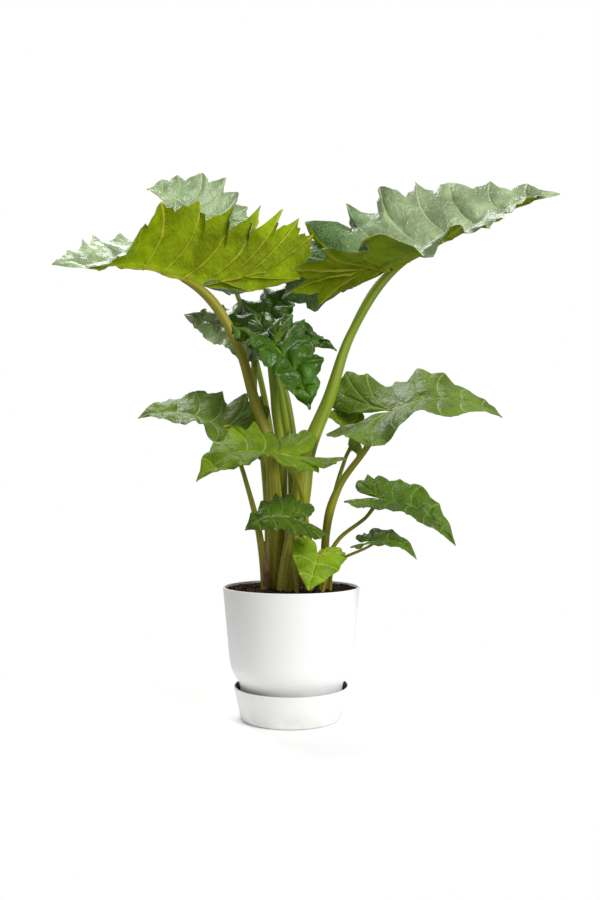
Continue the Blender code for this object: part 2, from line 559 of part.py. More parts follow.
for leaf_name, leaf in LEAVES.items():
    end_radius = STALKS[leaf_name][-1]
    blade_look = material("blade_" + leaf_name, leaf["colour"], 0.4)
    blade = make_blade("blade_" + leaf_name, leaf, end_radius, blade_look)
    cut(blade, [stalk_cutters[other] for other in (leaf_name, *leaf.get("passes", ()))])

make_dry_sheath(stalk_route("left_mid"), dry_brown)
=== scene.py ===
import math

import bmesh
import bpy
import numpy as np
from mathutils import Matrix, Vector, noise


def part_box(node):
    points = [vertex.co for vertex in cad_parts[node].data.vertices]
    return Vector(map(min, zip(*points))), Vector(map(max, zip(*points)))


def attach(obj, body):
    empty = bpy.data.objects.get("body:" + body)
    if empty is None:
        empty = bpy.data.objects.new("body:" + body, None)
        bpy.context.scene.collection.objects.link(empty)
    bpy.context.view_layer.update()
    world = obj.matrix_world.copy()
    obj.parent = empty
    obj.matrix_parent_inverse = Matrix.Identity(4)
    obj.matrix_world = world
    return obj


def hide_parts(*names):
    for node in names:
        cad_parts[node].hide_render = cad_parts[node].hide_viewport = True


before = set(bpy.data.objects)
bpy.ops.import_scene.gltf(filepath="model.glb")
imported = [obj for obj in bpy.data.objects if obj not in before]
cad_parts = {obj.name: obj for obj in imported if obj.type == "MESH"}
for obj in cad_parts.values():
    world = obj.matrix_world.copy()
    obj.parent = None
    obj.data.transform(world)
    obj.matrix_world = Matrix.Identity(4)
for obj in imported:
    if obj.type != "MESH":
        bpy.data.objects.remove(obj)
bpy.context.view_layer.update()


# ---------------------------------------------------------------- saucer
# The deep round saucer is moulded in matt white plastic. It stands on the floor, and the planter stands
# loose inside it. Its rim is a plain thin edge, and its inside below the rim is near black: painted shade.
def add_node(tree, kind, inputs=None, **settings):
    """A shader node with these settings; each input is a value, or an output socket to link to it."""
    node = tree.nodes.new("ShaderNode" + kind)
    for name, value in settings.items():
        setattr(node, name, value)
    for name, value in (inputs or {}).items():
        if isinstance(value, bpy.types.NodeSocket):
            tree.links.new(value, node.inputs[name])
        else:
            node.inputs[name].default_value = value
    return node


def mix_colour(tree, mask, first, second):
    """Colour output that goes from first to second as mask goes from 0 to 1."""
    return add_node(tree, "Mix", {0: mask, 6: first, 7: second}, data_type="RGBA").outputs[2]


def ramp(tree, value, low, high, start=0.0, end=1.0):
    """Output that goes smoothly from start to end as value goes from low to high."""
    return add_node(tree, "MapRange", {"Value": value, "From Min": low, "From Max": high, "To Min": start,
                                       "To Max": end}, interpolation_type="SMOOTHSTEP").outputs[0]


def new_group(name, inputs, outputs):
    """A shader node group with named float inputs and outputs, and its two end nodes."""
    group = bpy.data.node_groups.new(name, "ShaderNodeTree")
    for label, kind in inputs:
        group.interface.new_socket(label, in_out="INPUT", socket_type=kind)
    for label, kind in outputs:
        group.interface.new_socket(label, in_out="OUTPUT", socket_type=kind)
    return group, group.nodes.new("NodeGroupInput"), group.nodes.new("NodeGroupOutput")


def place_group(tree, group, inputs):
    """Put a node group in a material with its own values."""
    node = tree.nodes.new("ShaderNodeGroup")
    node.node_tree = group
    for name, value in inputs.items():
        if isinstance(value, bpy.types.NodeSocket):
            tree.links.new(value, node.inputs[name])
        else:
            node.inputs[name].default_value = value
    return node


def new_material(name, roughness):
    """A Principled material, its node tree and its shader."""
    made = bpy.data.materials.new(name)
    made.use_nodes = True
    shader = made.node_tree.nodes["Principled BSDF"]
    shader.inputs["Roughness"].default_value = roughness
    return made, made.node_tree, shader


def new_piece(name, mesh, looks, node, sharp_angle=50):
    """Turn a bmesh into a piece that stands for its CAD node and rides on the one body."""
    data = bpy.data.meshes.new(name)
    mesh.to_mesh(data)
    mesh.free()
    data.shade_smooth()
    data.set_sharp_from_angle(angle=math.radians(sharp_angle))
    for look in looks:
        data.materials.append(look)
    piece = bpy.data.objects.new(name, data)
    bpy.context.collection.objects.link(piece)
    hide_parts(node)
    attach(piece, "root")
    return piece


def turned(corners, segments=128, steps=5):
    """Spin (radius, height, rounding) corners, from the axis out and back to it, into a closed bmesh."""
    profile = [corners[0][:2]]
    for before, (r, z, rounding), after in zip(corners, corners[1:], corners[2:]):
        corner = Vector((r, z))
        arms = [Vector(end[:2]) - corner for end in (before, after)]
        first, last = (corner + arm.normalized() * min(rounding, arm.length * 0.49) for arm in arms)
        for t in np.linspace(0, 1, steps + 1) if rounding else ():
            profile.append(tuple(first * (1 - t) ** 2 + corner * 2 * t * (1 - t) + last * t**2))
        if not rounding:
            profile.append((r, z))
    profile.append(corners[-1][:2])
    mesh = bmesh.new()
    line = [mesh.verts.new((r, 0.0, z)) for r, z in profile]
    edges = [mesh.edges.new(pair) for pair in zip(line, line[1:])]
    bmesh.ops.spin(mesh, geom=line + edges, cent=(0, 0, 0), axis=(0, 0, 1), angle=math.tau, steps=segments,
                   use_merge=True)
    bmesh.ops.remove_doubles(mesh, verts=mesh.verts, dist=0.00001)
    bmesh.ops.recalc_face_normals(mesh, faces=mesh.faces)
    return mesh


def moulded_grain_group():
    """Fine grain of a plastic mould, and the faint grey of dust that gathers low down."""
    group, start, end = new_group(
        "moulded_grain", [("Grain Size", "NodeSocketFloat"), ("Dust Top", "NodeSocketFloat")],
        [("Grain", "NodeSocketFloat"), ("Dust", "NodeSocketFloat")])
    place = add_node(group, "TexCoord").outputs["Object"]
    scale = add_node(group, "Math", {0: 1.0, 1: start.outputs["Grain Size"]}, operation="DIVIDE").outputs[0]
    grain = add_node(group, "TexNoise", {"Vector": place, "Scale": scale, "Detail": 4.0}).outputs["Fac"]
    height = add_node(group, "SeparateXYZ", {0: place}).outputs["Z"]
    low = ramp(group, height, 0.0, start.outputs["Dust Top"], 1.0, 0.0)
    cloud = add_node(group, "TexNoise", {"Vector": place, "Scale": 22.0, "Detail": 5.0}).outputs["Fac"]
    patches = ramp(group, cloud, 0.35, 0.75)
    dust = add_node(group, "Math", {0: low, 1: patches}, operation="MULTIPLY").outputs[0]
    group.links.new(grain, end.inputs["Grain"])
    group.links.new(dust, end.inputs["Dust"])
    return group


MOULDED_GRAIN = moulded_grain_group()


def white_plastic(name, white, dust, dust_top):
    """Matt white plastic with its mould's grain."""
    made, tree, shader = new_material(name, 0.5)
    pattern = place_group(tree, MOULDED_GRAIN, {"Grain Size": 0.0012, "Dust Top": dust_top})
    tree.links.new(mix_colour(tree, pattern.outputs["Dust"], white, dust), shader.inputs["Base Color"])
    tree.links.new(ramp(tree, pattern.outputs["Grain"], 0.3, 0.7, 0.46, 0.58), shader.inputs["Roughness"])
    bump = add_node(tree, "Bump", {"Strength": 0.12, "Distance": 0.0003, "Height": pattern.outputs["Grain"]})
    tree.links.new(bump.outputs[0], shader.inputs["Normal"])
    return made


SAUCER_WALL = 0.003
SAUCER_BASE_RADIUS = 0.108
SAUCER_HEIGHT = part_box("saucer")[1].z
SAUCER_RIM_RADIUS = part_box("saucer")[1].x

saucer_mesh = turned([
    (0.0, 0.0, 0), (SAUCER_BASE_RADIUS, 0.0, 0.007), (SAUCER_RIM_RADIUS, SAUCER_HEIGHT, 0.0012),
    (SAUCER_RIM_RADIUS - SAUCER_WALL, SAUCER_HEIGHT, 0.0012),
    (SAUCER_BASE_RADIUS - SAUCER_WALL, SAUCER_WALL, 0.005), (0.0, SAUCER_WALL, 0)])
# Painted shade: the inside of the saucer is coloured near black, mottled by noise, where only shade falls.
painted_shade_inside, painted_shade_tree, painted_shade_shader = new_material("saucer_painted_shade_inside", 0.6)
painted_shade_place = add_node(painted_shade_tree, "TexCoord").outputs["Object"]
painted_shade_cloud = add_node(painted_shade_tree, "TexNoise", {"Vector": painted_shade_place, "Scale": 60.0,
                                            "Detail": 5.0}).outputs["Fac"]
painted_shade_tree.links.new(mix_colour(painted_shade_tree, painted_shade_cloud, (0.012, 0.010, 0.008, 1), (0.05, 0.042, 0.034, 1)),
                   painted_shade_shader.inputs["Base Color"])
# Faces that look inwards or up, below the rim, take the painted shade material.
for face in saucer_mesh.faces:
    middle = face.calc_center_median()
    inside = middle.xy.dot(face.normal.xy) < 0 or face.normal.z > 0.5
    face.material_index = 1 if inside and middle.z < SAUCER_HEIGHT - 0.002 else 0
saucer_plastic = white_plastic("saucer_plastic", (0.80, 0.80, 0.79, 1), (0.62, 0.60, 0.56, 1), 0.05)
new_piece("deep_saucer", saucer_mesh, [saucer_plastic, painted_shade_inside], "saucer")

# ---------------------------------------------------------------- planter
# The round tapered planter is moulded in the same matt white plastic, with a soft waist above a drawn-in
# neck. It stands on its foot ring in the saucer, and water drains through six holes in its floor.
POT_WALL = 0.004
NECK_RADIUS = 0.1115
NECK_HEIGHT = 0.076
WAIST_RADIUS = 0.1305
WAIST_HEIGHT = 0.106
FOOT_RADIUS = 0.098
FOOT_RING = 0.008
FOOT_RISE = 0.008
POT_FLOOR = 0.003
DRAIN_HOLES = 6
DRAIN_RADIUS = 0.006
DRAIN_CIRCLE = 0.055
BRIM_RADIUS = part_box("pot")[1].x
BRIM_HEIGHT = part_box("pot")[1].z
FOOT_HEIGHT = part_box("pot")[0].z

pot_mesh = turned([
    (0.0, FOOT_HEIGHT + FOOT_RISE, 0), (FOOT_RADIUS - FOOT_RING, FOOT_HEIGHT + FOOT_RISE, 0.001),
    (FOOT_RADIUS - FOOT_RING, FOOT_HEIGHT, 0.001), (FOOT_RADIUS, FOOT_HEIGHT, 0.003),
    (NECK_RADIUS, NECK_HEIGHT, 0.006), (WAIST_RADIUS, WAIST_HEIGHT, 0.018),
    (BRIM_RADIUS, BRIM_HEIGHT, 0.0018), (BRIM_RADIUS - POT_WALL, BRIM_HEIGHT, 0.0018),
    (WAIST_RADIUS - POT_WALL, WAIST_HEIGHT, 0.014), (NECK_RADIUS - POT_WALL, NECK_HEIGHT, 0.012),
    (FOOT_RADIUS - POT_WALL, FOOT_HEIGHT + FOOT_RISE + POT_FLOOR, 0.004),
    (0.0, FOOT_HEIGHT + FOOT_RISE + POT_FLOOR, 0)])
planter_plastic = white_plastic("planter_plastic", (0.83, 0.83, 0.82, 1), (0.66, 0.64, 0.60, 1), 0.12)
planter = new_piece("planter", pot_mesh, [planter_plastic], "pot")
for number in range(DRAIN_HOLES):
    turn = math.tau * (number + 0.25) / DRAIN_HOLES
    drill_mesh = bmesh.new()
    bmesh.ops.create_cone(drill_mesh, cap_ends=True, segments=32, radius1=DRAIN_RADIUS, radius2=DRAIN_RADIUS,
                          depth=0.04)
    spot = (DRAIN_CIRCLE * math.cos(turn), DRAIN_CIRCLE * math.sin(turn), FOOT_HEIGHT + FOOT_RISE)
    bmesh.ops.translate(drill_mesh, verts=drill_mesh.verts, vec=spot)
    drill_data = bpy.data.meshes.new("drill")
    drill_mesh.to_mesh(drill_data)
    drill_mesh.free()
    drill = bpy.data.objects.new("drill", drill_data)
    bpy.context.collection.objects.link(drill)
    hole = planter.modifiers.new("drain_hole", "BOOLEAN")
    hole.operation = "DIFFERENCE"
    hole.solver = "EXACT"
    hole.object = drill
    with bpy.context.temp_override(object=planter, active_object=planter, selected_objects=[planter]):
        bpy.ops.object.modifier_apply(modifier=hole.name)
    bpy.data.objects.remove(drill)

# ---------------------------------------------------------------- soil
# Dark moist potting soil fills the planter to just below its brim and holds the rootstock. Its surface is
# uneven and covered in loose crumbs.
SOIL_EDGE = 0.2725
SOIL_MIDDLE = 0.2740
SOIL_RADIUS = 0.1420
CRUMBS_REACH = 0.139
SOIL_CRUMBS = 1500
SOIL_GAP = 0.0006


def soil_look(name, dark, light, size):
    """Crumbly matt earth."""
    made, tree, shader = new_material(name, 0.95)
    shader.inputs["Specular IOR Level"].default_value = 0.15
    place = add_node(tree, "TexCoord").outputs["Object"]
    crumbs = add_node(tree, "TexVoronoi", {"Vector": place, "Scale": 1 / size},
                      feature="F1").outputs["Distance"]
    cloud = add_node(tree, "TexNoise", {"Vector": place, "Scale": 45.0, "Detail": 6.0}).outputs["Fac"]
    tree.links.new(mix_colour(tree, ramp(tree, cloud, 0.35, 0.7), dark, light), shader.inputs["Base Color"])
    bump = add_node(tree, "Bump", {"Strength": 0.8, "Distance": 0.0012, "Height": crumbs})
    tree.links.new(bump.outputs[0], shader.inputs["Normal"])
    return made


soil_mesh = turned([
    (0.0, FOOT_HEIGHT + FOOT_RISE + POT_FLOOR + SOIL_GAP, 0),
    (FOOT_RADIUS - POT_WALL - SOIL_GAP, FOOT_HEIGHT + FOOT_RISE + POT_FLOOR + SOIL_GAP, 0.004),
    (NECK_RADIUS - POT_WALL - 2 * SOIL_GAP, NECK_HEIGHT, 0.010),
    (WAIST_RADIUS - POT_WALL - 2 * SOIL_GAP, WAIST_HEIGHT, 0.012), (SOIL_RADIUS, SOIL_EDGE, 0),
    *((SOIL_RADIUS * share, SOIL_EDGE + (SOIL_MIDDLE - SOIL_EDGE) * min(1, 2 * (1 - share)), 0)
      for share in np.linspace(0.97, 0.03, 32)), (0.0, SOIL_MIDDLE, 0)], segments=160)
for vert in soil_mesh.verts:
    if vert.co.z > SOIL_EDGE - 0.0005 and vert.co.xy.length < 0.141:
        vert.co.z += 0.0022 * noise.noise(vert.co * 55) + 0.0012 * noise.noise(vert.co * 190)
random = np.random.default_rng(7)
for _ in range(SOIL_CRUMBS):
    r, turn = CRUMBS_REACH * math.sqrt(random.random()), math.tau * random.random()
    size = 0.0007 + 0.0019 * random.random() ** 3
    crumb = bmesh.ops.create_icosphere(soil_mesh, subdivisions=1, radius=size)["verts"]
    bmesh.ops.scale(soil_mesh, verts=crumb, vec=(1 + random.random(), 1, 0.6 + 0.4 * random.random()))
    bmesh.ops.rotate(soil_mesh, verts=crumb, cent=(0, 0, 0),
                     matrix=Vector((0, 0, 1)).rotation_difference(Vector(random.normal(size=3))).to_matrix())
    top = SOIL_EDGE + (SOIL_MIDDLE - SOIL_EDGE) * min(1, 2 * (1 - r / SOIL_RADIUS))
    spot = (r * math.cos(turn), r * math.sin(turn), top + size * 0.3)
    bmesh.ops.translate(soil_mesh, verts=crumb, vec=spot)
moist_soil = soil_look("moist_soil", (0.012, 0.004, 0.003, 1), (0.040, 0.015, 0.010, 1), 0.0025)
new_piece("potting_soil", soil_mesh, [moist_soil], "soil", 80)

# ---------------------------------------------------------------- rootstock
# The plant's short thick rootstock lies in the soil and just shows above it. It is brown, ringed with old
# leaf scars, and frayed fibres of dead sheaths stand round the stalks that grow out of it.
ROOTSTOCK_CENTRE = Vector((0.010, -0.008, 0.237))
ROOTSTOCK_RADII = (0.096, 0.082, 0.040)
FRAYED_FIBRES = 150
FIBRE_RING = (0.056, 0.050)  # radii of the ring that the fibres stand on
FIBRE_FOOT = 0.034           # its height above the rootstock's centre


def unit(vectors):
    """The vectors scaled to length one."""
    return vectors / np.maximum(np.linalg.norm(vectors, axis=-1, keepdims=True), 1e-9)


def knots_of(points):
    """Share of the whole way at which each point lies."""
    spans = np.linalg.norm(np.diff(points[:, :3], axis=0), axis=1)
    return np.concatenate(([0.0], np.cumsum(spans))) / spans.sum()


def along(points, share):
    """Place and direction at shares (0..1) of a smooth curve through the points."""
    points = np.asarray(points, float)
    share = np.asarray(share, float)
    knots = knots_of(points)
    steps = np.diff(knots)[:, None]
    slopes = np.diff(points, axis=0) / steps
    middle = (slopes[:-1] * steps[1:] + slopes[1:] * steps[:-1]) / (steps[:-1] + steps[1:])
    tangents = np.vstack((1.5 * slopes[:1] - 0.5 * middle[:1], middle,
                          1.5 * slopes[-1:] - 0.5 * middle[-1:]))
    part = np.clip(np.searchsorted(knots, share, side="right") - 1, 0, len(points) - 2)
    step = steps[part]
    t = (share[:, None] - knots[part][:, None]) / step
    start, end = points[part], points[part + 1]
    leave, arrive = tangents[part] * step, tangents[part + 1] * step
    place = ((2 * t**3 - 3 * t**2 + 1) * start + (t**3 - 2 * t**2 + t) * leave
             + (3 * t**2 - 2 * t**3) * end + (t**3 - t**2) * arrive)
    direction = (6 * (t**2 - t) * (start - end) + (3 * t**2 - 4 * t + 1) * leave
                 + (3 * t**2 - 2 * t) * arrive) / step
    return place, direction


def tube_point(route, turn, share, widen=0.0):
    """Points on a tube along (x, y, z, radius) points: share of its length, turn round it from 0 to 1."""
    place, forward = along(route, share)
    forward = unit(forward[:, :3])
    side = unit(np.cross(forward, (0.3, 1.0, 0.05)))
    other = np.cross(forward, side)
    angle = math.tau * turn
    ring = side * np.cos(angle)[:, None] + other * np.sin(angle)[:, None]
    return place[:, :3] + ring * (place[:, 3:] + np.asarray(widen).reshape(-1, 1))


def mapped_grid(mesh, columns, rows, place):
    """Add a grid and move its corners (0..columns, 0..rows) to place(columns, rows).

    Returns the corners, and the column and row of each.
    """
    corners = bmesh.ops.create_grid(mesh, x_segments=columns, y_segments=rows, size=0.5)["verts"]
    flat = np.rint((np.array([corner.co[:2] for corner in corners]) + 0.5) * (columns, rows)).astype(int)
    for corner, point in zip(corners, place(flat[:, 0], flat[:, 1])):
        corner.co = point
    return corners, flat


def add_tube(mesh, route, sides, steps, widen=None):
    """Add a closed tube with a UV map that has the turn round it and the share of its length."""
    uv = mesh.loops.layers.uv.get("UVMap") or mesh.loops.layers.uv.new("UVMap")

    def place(column, row):
        turn, share = 1 - row / sides, column / steps
        return tube_point(route, turn, share, widen(turn, share) if widen else 0.0)

    corners, flat = mapped_grid(mesh, steps, sides, place)
    spot = {corner: (1 - row / sides, column / steps) for corner, (column, row) in zip(corners, flat)}
    for face in {face for corner in corners for face in corner.link_faces}:
        for loop in face.loops:
            loop[uv].uv = spot[loop.vert]
    bmesh.ops.remove_doubles(mesh, verts=corners, dist=0.00001)
    ends = [edge for edge in mesh.edges if edge.is_boundary]
    bmesh.ops.holes_fill(mesh, edges=ends, sides=0)


def fibrous_look(name, dark, light):
    """Dull brown plant fibre with streaks."""
    made, tree, shader = new_material(name, 0.85)
    place = add_node(tree, "TexCoord").outputs["Object"]
    stretched = add_node(tree, "Mapping", {"Vector": place, "Scale": (1.0, 1.0, 0.25)}).outputs[0]
    streak = add_node(tree, "TexNoise", {"Vector": stretched, "Scale": 160.0, "Detail": 6.0}).outputs["Fac"]
    tree.links.new(mix_colour(tree, ramp(tree, streak, 0.35, 0.65), dark, light),
                   shader.inputs["Base Color"])
    bump = add_node(tree, "Bump", {"Strength": 0.7, "Distance": 0.001, "Height": streak})
    tree.links.new(bump.outputs[0], shader.inputs["Normal"])
    return made


rootstock_mesh = bmesh.new()
bmesh.ops.create_uvsphere(rootstock_mesh, u_segments=96, v_segments=48, radius=1.0)
for vert in rootstock_mesh.verts:
    x, y, z = vert.co
    knob = 1 + 0.05 * math.sin(5 * x + 3 * y) * math.cos(4 * y) - 0.02
    scar = 0.012 * math.sin(46 * vert.co.xy.length + 3 * x)
    rough = 0.03 * noise.noise(vert.co * 9)
    size = knob + scar + rough
    vert.co = ROOTSTOCK_CENTRE + Vector(radius * size * part
                                        for radius, part in zip(ROOTSTOCK_RADII, (x, y, z)))
for _ in range(FRAYED_FIBRES):
    turn = math.tau * random.random()
    foot = ROOTSTOCK_CENTRE + Vector((FIBRE_RING[0] * math.cos(turn), FIBRE_RING[1] * math.sin(turn),
                                      FIBRE_FOOT))
    lean = Vector((math.cos(turn), math.sin(turn), 0)) * random.normal(0.004, 0.006)
    tall = 0.006 + 0.012 * random.random()
    width = 0.0004 + 0.0006 * random.random()
    foot += Vector((random.normal(0, 0.006), random.normal(0, 0.006), 0))
    bend = foot + lean * 0.4 + Vector((0, 0, tall * 0.6))
    tip = foot + lean + Vector((0, 0, tall))
    add_tube(rootstock_mesh, [(*foot, width), (*bend, width * 0.8), (*tip, width * 0.2)], 4, 4)
bmesh.ops.recalc_face_normals(rootstock_mesh, faces=rootstock_mesh.faces)
root_fibre = fibrous_look("root_fibre", (0.045, 0.022, 0.010, 1), (0.17, 0.10, 0.045, 1))
new_piece("knobbly_rootstock", rootstock_mesh, [root_fibre], "rootstock", 80)

# ---------------------------------------------------------------- stalks
# Each leaf has one fleshy stalk that grows straight out of the rootstock, so the thick ones together look
# like a trunk. They are waxy, brownish at the foot, greener upwards, and finely ribbed along their length.
STALKS = {
    "left_high": ((-0.038, -0.002, 0.265, 0.020), (-0.032, -0.002, 0.40, 0.020),
        (-0.038, -0.012, 0.485, 0.0165), (-0.045, -0.020, 0.565, 0.0135), (-0.080, -0.030, 0.68, 0.012),
        (-0.115, -0.035, 0.795, 0.0105), 0.009),
    "right_high": ((-0.012, -0.048, 0.265, 0.020), (0.010, -0.032, 0.40, 0.021),
        (0.022, -0.022, 0.48, 0.021), (0.035, -0.015, 0.565, 0.018), (0.080, -0.010, 0.68, 0.0145),
        (0.130, -0.010, 0.825, 0.0105), 0.0085),
    "centre_front": ((-0.025, 0.037, 0.265, 0.012), (-0.020, 0.030, 0.465, 0.012),
        (-0.022, 0.015, 0.565, 0.011), (-0.036, -0.012, 0.68, 0.0095), 0.0055),
    "centre_right": ((-0.003, 0.055, 0.265, 0.010), (0.002, 0.050, 0.465, 0.010),
        (-0.004, 0.045, 0.57, 0.009), (-0.025, 0.025, 0.70, 0.0085), 0.006),
    "centre_back": ((0.018, 0.060, 0.265, 0.009), (0.015, 0.078, 0.465, 0.009),
        (-0.012, 0.088, 0.70, 0.0075), 0.006),
    "back_left": ((-0.050, 0.050, 0.265, 0.009), (-0.060, 0.070, 0.51, 0.008),
        (-0.085, 0.100, 0.695, 0.007), 0.0055),
    "top_back": ((-0.020, 0.080, 0.265, 0.009), (-0.035, 0.110, 0.51, 0.0085),
        (-0.085, 0.185, 0.79, 0.007), (-0.140, 0.235, 0.98, 0.006), 0.005),
    "left_mid": ((-0.055, -0.035, 0.265, 0.0095), (-0.070, -0.030, 0.40, 0.0075),
        (-0.092, -0.025, 0.485, 0.0055), (-0.118, -0.020, 0.56, 0.005), 0.0045),
    "front_mid": ((0.040, -0.055, 0.265, 0.0065), (0.034, -0.062, 0.40, 0.006),
        (0.020, -0.078, 0.485, 0.0055), 0.0045),
    "right_mid": ((0.075, -0.005, 0.265, 0.011), (0.075, -0.005, 0.39, 0.009),
        (0.085, -0.005, 0.445, 0.010), (0.105, -0.010, 0.495, 0.008), (0.155, -0.015, 0.565, 0.007),
        0.006),
    "right_inner": ((0.065, 0.030, 0.265, 0.007), (0.080, 0.040, 0.395, 0.006),
        (0.105, 0.050, 0.51, 0.005), (0.120, 0.055, 0.555, 0.0045), 0.004),
    "front_low": ((0.012, -0.084, 0.265, 0.0045), (0.004, -0.103, 0.37, 0.004),
        (0.002, -0.130, 0.415, 0.0035), 0.003),
    "front_lowest": ((0.065, -0.070, 0.265, 0.0045), (0.075, -0.075, 0.335, 0.004),
        (0.065, -0.090, 0.36, 0.0035), 0.003),
    "right_low": ((0.060, -0.035, 0.265, 0.005), (0.100, -0.045, 0.38, 0.0045),
        (0.155, -0.055, 0.425, 0.004), 0.0035),
    "right_lowest": ((0.082, -0.048, 0.265, 0.004), (0.090, -0.060, 0.325, 0.0035),
        (0.155, -0.085, 0.365, 0.003), 0.0027),
}
STALK_ROOT = 0.030
SHEET = 0.0011               # leaf thickness
STALK_FOOT_BROWN = (0.27, 0.23, 0.010, 1)
STALK_OLIVE = (0.23, 0.24, 0.004, 1)
STALK_GREEN = (0.19, 0.27, 0.010, 1)
STALK_OCHRE = (0.27, 0.24, 0.018, 1)
STALK_BROWN = (0.17, 0.14, 0.015, 1)


def stalk_look(name, shift, top_colour):
    """Waxy stalk skin: brown at the foot, olive and then green upwards, with fine streaks along it."""
    made, tree, shader = new_material(name, 0.42)
    shader.inputs["Specular IOR Level"].default_value = 0.3
    spot = add_node(tree, "UVMap", uv_map="UVMap").outputs[0]
    height = add_node(tree, "SeparateXYZ", {0: add_node(tree, "TexCoord").outputs["Object"]}).outputs["Z"]
    streaks = add_node(tree, "Mapping", {"Vector": spot, "Location": (shift, shift, 0),
                                         "Scale": (26.0, 5.0, 1.0)}).outputs[0]
    streak = add_node(tree, "TexNoise", {"Vector": streaks, "Scale": 1.0, "Detail": 5.0}).outputs["Fac"]
    place = add_node(tree, "TexCoord").outputs["Object"]
    blotch = add_node(tree, "TexNoise", {"Vector": place, "Scale": 38.0, "Detail": 4.0}).outputs["Fac"]
    wobble = add_node(tree, "Math", {0: blotch, 1: 0.20, 2: -0.10}, operation="MULTIPLY_ADD").outputs[0]
    level = add_node(tree, "Math", {0: height, 1: wobble}, operation="ADD").outputs[0]
    lower = mix_colour(tree, ramp(tree, level, 0.27, 0.44), STALK_FOOT_BROWN, STALK_OLIVE)
    skin = mix_colour(tree, ramp(tree, level, 0.42, 0.70), lower, top_colour)
    streaked = mix_colour(tree, ramp(tree, streak, 0.50, 0.68, 0.0, 0.55), skin, (0.36, 0.42, 0.06, 1))
    browned = mix_colour(tree, ramp(tree, streak, 0.46, 0.32, 0.0, 0.45), streaked, (0.09, 0.075, 0.006, 1))
    speck = add_node(tree, "TexNoise", {"Vector": place, "Scale": 420.0, "Detail": 3.0}).outputs["Fac"]
    specks = ramp(tree, speck, 0.52, 0.64)
    near_foot = ramp(tree, level, 0.70, 0.30, 0.1, 0.7)
    low_specks = add_node(tree, "Math", {0: specks, 1: near_foot}, operation="MULTIPLY").outputs[0]
    speckled = mix_colour(tree, low_specks, browned, (0.11, 0.075, 0.008, 1))
    tree.links.new(speckled, shader.inputs["Base Color"])
    tree.links.new(ramp(tree, blotch, 0.3, 0.7, 0.36, 0.52), shader.inputs["Roughness"])
    bump = add_node(tree, "Bump", {"Strength": 0.35, "Distance": 0.0008, "Height": streak})
    tree.links.new(bump.outputs[0], shader.inputs["Normal"])
    return made


def ribbed(seed, radius):
    """How far a stalk's skin stands out: fine ribs, and a sheath's edge that winds up from the foot."""
    def widen(turn, share):
        ribs = 0.007 * np.cos(math.tau * 9 * turn + seed) + 0.006 * np.cos(math.tau * 16 * turn + 2 * seed)
        edge = ((turn - 0.15 - 0.1 * math.sin(seed) - 0.25 * share) % 1.0)
        sheath = 0.10 * np.exp(-(edge / 0.05) ** 2) * np.clip(1 - share / 0.55, 0, 1)
        return radius * (ribs - 0.03 + sheath * 0.6)
    return widen


# ---------------------------------------------------------------- form of a leaf blade
# A blade is a thin waxy sheet in two halves on one midrib, with a lobe behind the stalk on each side. Strong
# veins fan out to the teeth of its margin, and the sheet is quilted between them.
MARGIN = ((1.00, 0.00), (0.90, 0.15), (0.72, 0.40), (0.50, 0.66), (0.27, 0.86), (0.05, 0.98), (-0.30, 1.00),
          (-0.65, 0.92), (-0.93, 0.70), (-1.00, 0.44), (-0.76, 0.22), (-0.35, 0.08), (0.00, 0.00))
JOINT_CORNER = 6
LOBE_CORNER = 8
LOBE_RIB_END = (-0.56, 0.44)
VEIN_SWEEP = 0.13
COLUMNS = (0.0, 0.035, 0.09, 0.20, 0.35, 0.5, 0.65, 0.80, 0.91, 0.965)
ROWS = (0.0, 0.02, 0.045, 0.075, 0.12, 0.18, 0.26, 0.35, 0.45, 0.55, 0.65, 0.74, 0.82, 0.89, 0.95, 1.0)
VEIN_UNIT = 0.05             # metres for each unit of the blade's UV map


def vein_count(leaf):
    """How many veins' widths the margin of one half has, and where the joint and the lobe's rib end fall."""
    ahead, beside = leaf["veins"]
    return ahead + 2 * beside, (0, ahead, ahead + beside, ahead + 2 * beside)


def flat_half(leaf, lobe, vein, reach, seed):
    """Flat (x, y) of one half, and the span of the sheet there, from the rib to the margin.

    vein counts from the tip round to the notch, and reach goes from 0 at the rib to 1 at the margin.
    """
    length, width = leaf["length"], leaf["half_width"]
    total, breaks = vein_count(leaf)
    shoulder = leaf.get("shoulder", 0.0)
    outline = np.array([(x * (length if x > 0 else lobe), y * width * (1 - shoulder * min(x, 0)), 0.0)
                        for x, y in MARGIN])
    knots = knots_of(outline)
    share = np.interp(vein, breaks, (0.0, knots[JOINT_CORNER], knots[LOBE_CORNER], 1.0))
    edge = along(outline, share)[0][:, :2]
    ahead = np.interp(vein, breaks, (1.0, 0.0, 0.0, 0.0)) ** 1.15
    back = np.interp(vein, breaks, (0.0, 0.0, 1.0, 0.0))
    foot = np.stack((length * ahead + LOBE_RIB_END[0] * lobe * back,
                     LOBE_RIB_END[1] * width * back), axis=1)
    spiky = leaf.get("spiky", 0.25)
    between = spiky * (1 - np.abs(2 * (vein % 1.0) - 1.0) ** 1.5) + (1 - spiky) * np.sin(math.pi * vein) ** 2
    near_ends = np.clip(vein, 0, 1) * np.clip(total - vein, 0, 1)
    uneven = 1 + 0.5 * np.sin(7.3 * np.floor(vein) + seed)
    notch = 0.35 * leaf.get("teeth", 0.12) * (1 - np.abs(np.cos(math.pi * 3 * vein))) * near_ends
    span = (edge - foot) * (1 - (leaf.get("teeth", 0.12) * between * uneven) * near_ends - notch)[:, None]
    flat = foot + span * reach[:, None]
    flat[:, 0] -= VEIN_SWEEP * 4 * reach * (1 - reach) * np.clip(1 - back, 0, 1) * np.abs(span[:, 1])
    return flat, np.linalg.norm(span, axis=1)


